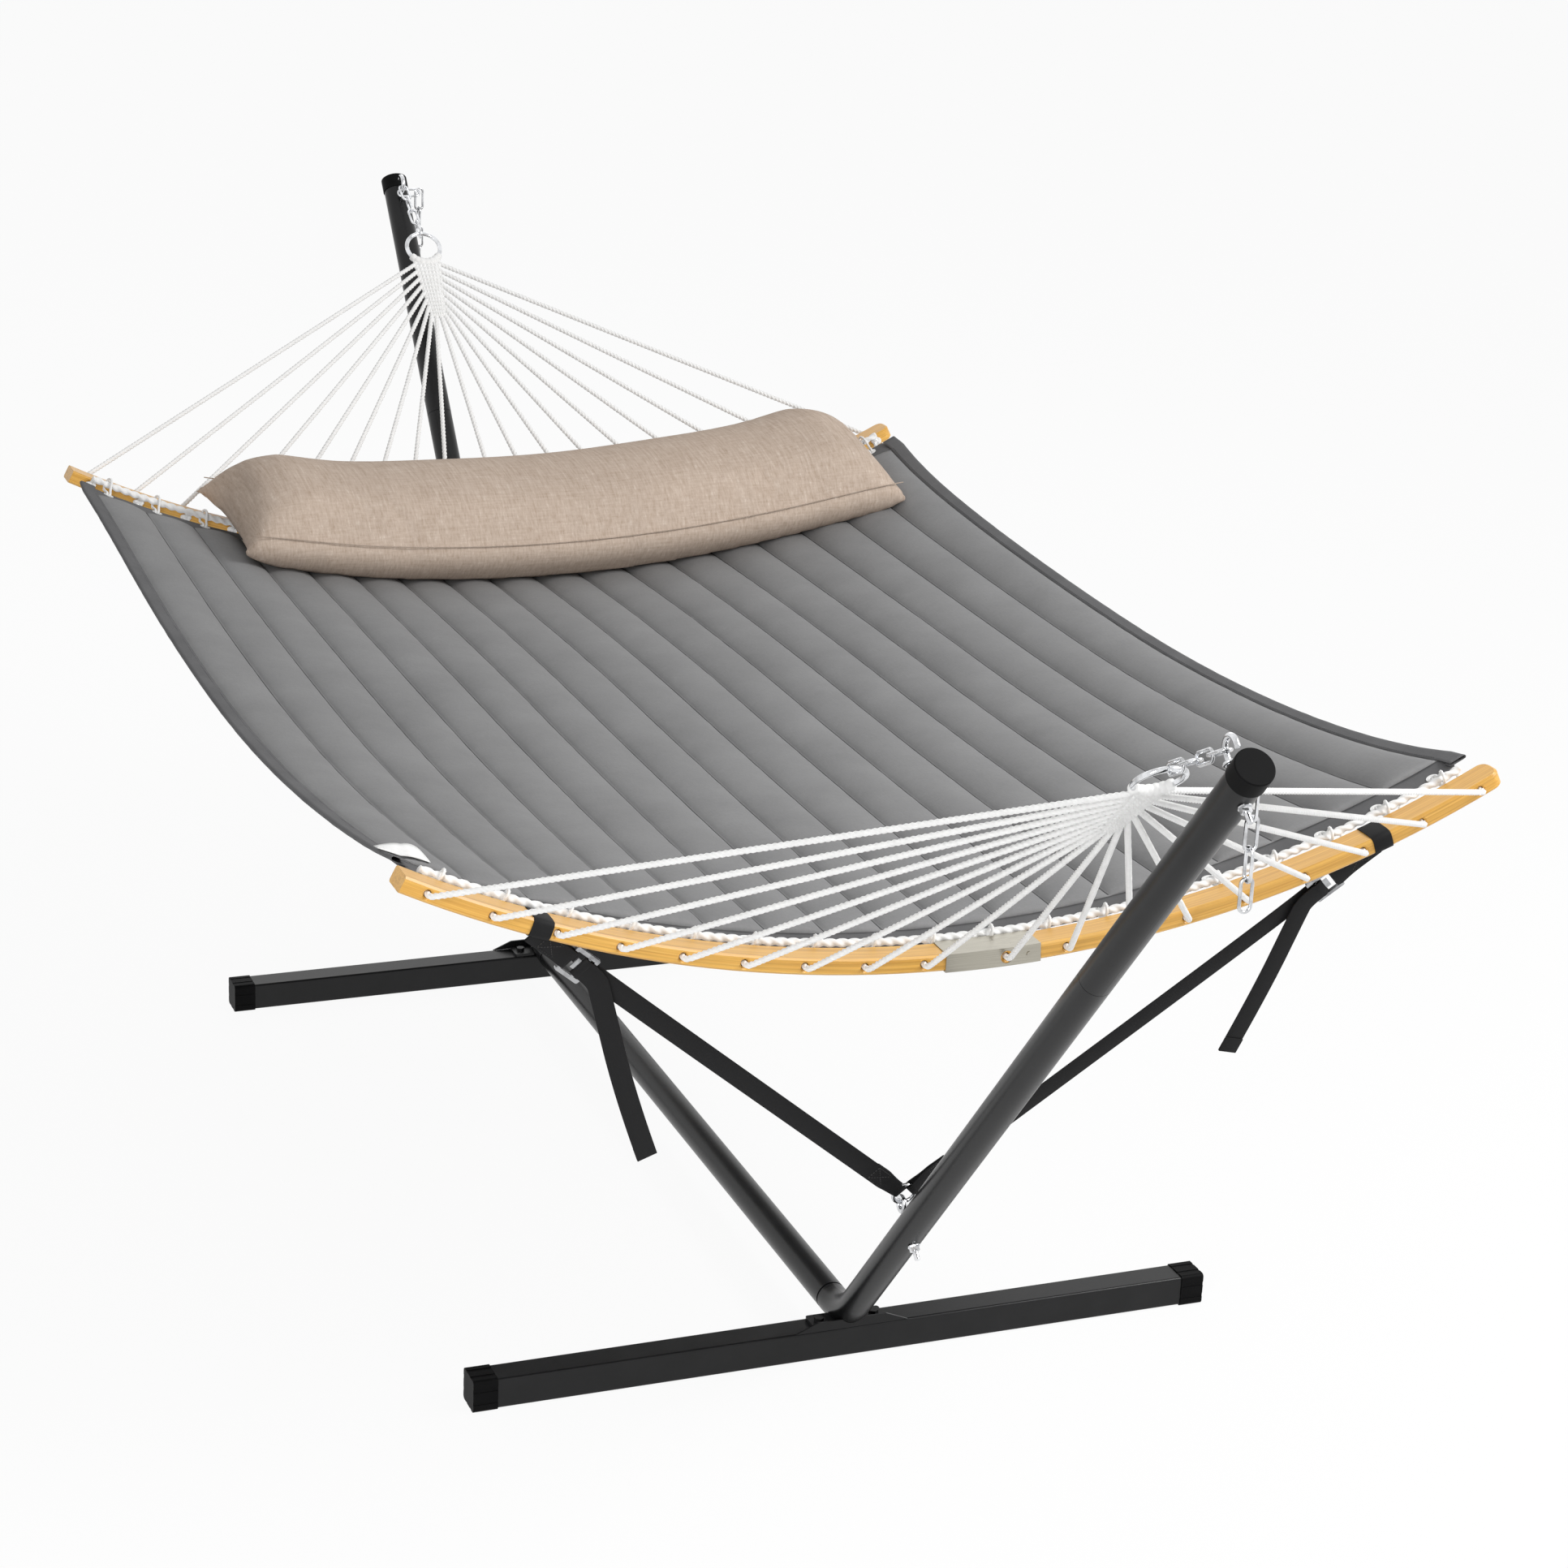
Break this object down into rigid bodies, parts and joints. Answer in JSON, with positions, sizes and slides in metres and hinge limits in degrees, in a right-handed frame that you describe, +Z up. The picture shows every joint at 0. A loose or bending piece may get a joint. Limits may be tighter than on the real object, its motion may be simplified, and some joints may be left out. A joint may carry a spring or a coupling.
{
  "type": "hammock on stand",
  "caption": "Quilted fabric hammock with curved wooden spreader bars, corded ends and a long pillow, hung by chains between the leaning uprights of a black tubular steel stand.",
  "frame": {"origin": "middle of the stand's footprint, on the floor", "axes": "+X along the stand towards the end with the straps, +Y to the right seen from that end, +Z up"},
  "size_m": [3.7588, 1.6315, 1.3425],
  "materials": {
    "powder_coat": "satin",
    "black_plastic": "matt, ribbed",
    "zinc": "bright plated",
    "nickel": "brushed",
    "bamboo": "varnished, laminated along its length",
    "cotton": "twisted rope",
    "grey_cloth": "plain weave, quilted",
    "linen": "slubby weave",
    "webbing": "ribbed webbing",
    "white_plastic": "moulded"
  },
  "bodies": {
    "stand": {"front_foot_tube": "powder_coat", "front_left_foot_cap": "black_plastic", "front_right_foot_cap": "black_plastic", "front_cheek_plate": "powder_coat", "front_saddle": "powder_coat", "front_lower_upright": "powder_coat", "front_upper_upright": "powder_coat", "front_top_cap": "black_plastic", "front_hook": "zinc", "front_chain_drape": "zinc", "rear_foot_tube": "powder_coat", "rear_left_foot_cap": "black_plastic", "rear_right_foot_cap": "black_plastic", "rear_cheek_plate": "powder_coat", "rear_saddle": "powder_coat", "rear_lower_upright": "powder_coat", "rear_upper_upright": "powder_coat", "rear_top_cap": "black_plastic", "rear_hook": "zinc", "rear_chain_drape": "zinc", "saddle_bolts": "powder_coat", "spine_tube": "powder_coat", "bolt_nuts": "zinc", "strap_eyebolt": "zinc", "anchor_ring": "zinc"},
    "hammock": {"front_chain": "zinc", "front_ring": "zinc", "front_clew": "cotton", "front_suspension_cords": "cotton", "front_left_bar": "bamboo", "front_right_bar": "bamboo", "front_bar_sleeve": "nickel", "front_end_band": "grey_cloth", "front_lacing": "cotton", "rear_chain": "zinc", "rear_ring": "zinc", "rear_clew": "cotton", "rear_suspension_cords": "cotton", "rear_left_bar": "bamboo", "rear_right_bar": "bamboo", "rear_bar_sleeve": "nickel", "rear_end_band": "grey_cloth", "rear_lacing": "cotton", "sleeve_rivets": "nickel", "eyelets": "white_plastic", "bed": "grey_cloth", "left_strap_loop": "webbing", "left_strap_span": "webbing", "left_strap_tail": "webbing", "left_buckle_frame": "zinc", "right_strap_loop": "webbing", "right_strap_span": "webbing", "right_strap_tail": "webbing", "right_buckle_frame": "zinc"},
    "pillow": {"pillow": "linen"},
    "front_spare_chain": {"front_chain_tail": "zinc"},
    "rear_spare_chain": {"rear_chain_tail": "zinc"},
    "left_roller": {"left_buckle_roller": "zinc"},
    "right_roller": {"right_buckle_roller": "zinc"}
  },
  "joints": [
    {"name": "hammock_swing", "type": "hinge", "parent": "stand", "child": "hammock", "pos_m": [0, 0, 1.31655], "axis": [1, 0, 0], "range_deg": [-15, 15], "deforming": ["left_strap_span", "right_strap_span"]},
    {"name": "pillow_lift", "type": "slide", "parent": "hammock", "child": "pillow", "axis": [0, 0, 1], "range_m": [0, 0.12]},
    {"name": "front_spare_chain_swing", "type": "hinge", "parent": "stand", "child": "front_spare_chain", "pos_m": [1.80084, 0.03695, 1.30428], "axis": [1, 0, 0], "range_deg": [0, 30]},
    {"name": "rear_spare_chain_swing", "type": "hinge", "parent": "stand", "child": "rear_spare_chain", "pos_m": [-1.80084, 0.03695, 1.30428], "axis": [1, 0, 0], "range_deg": [0, 30]},
    {"name": "left_roller_turn", "type": "hinge", "parent": "hammock", "child": "left_roller", "pos_m": [1.10774, -0.5548, 0.83133], "axis": [0.2235, 0.6716, 0.7064], "range_deg": [0, 40]},
    {"name": "right_roller_turn", "type": "hinge", "parent": "hammock", "child": "right_roller", "pos_m": [1.10774, 0.5548, 0.83133], "axis": [-0.2235, 0.6716, -0.7064], "range_deg": [0, 40]}
  ]
}
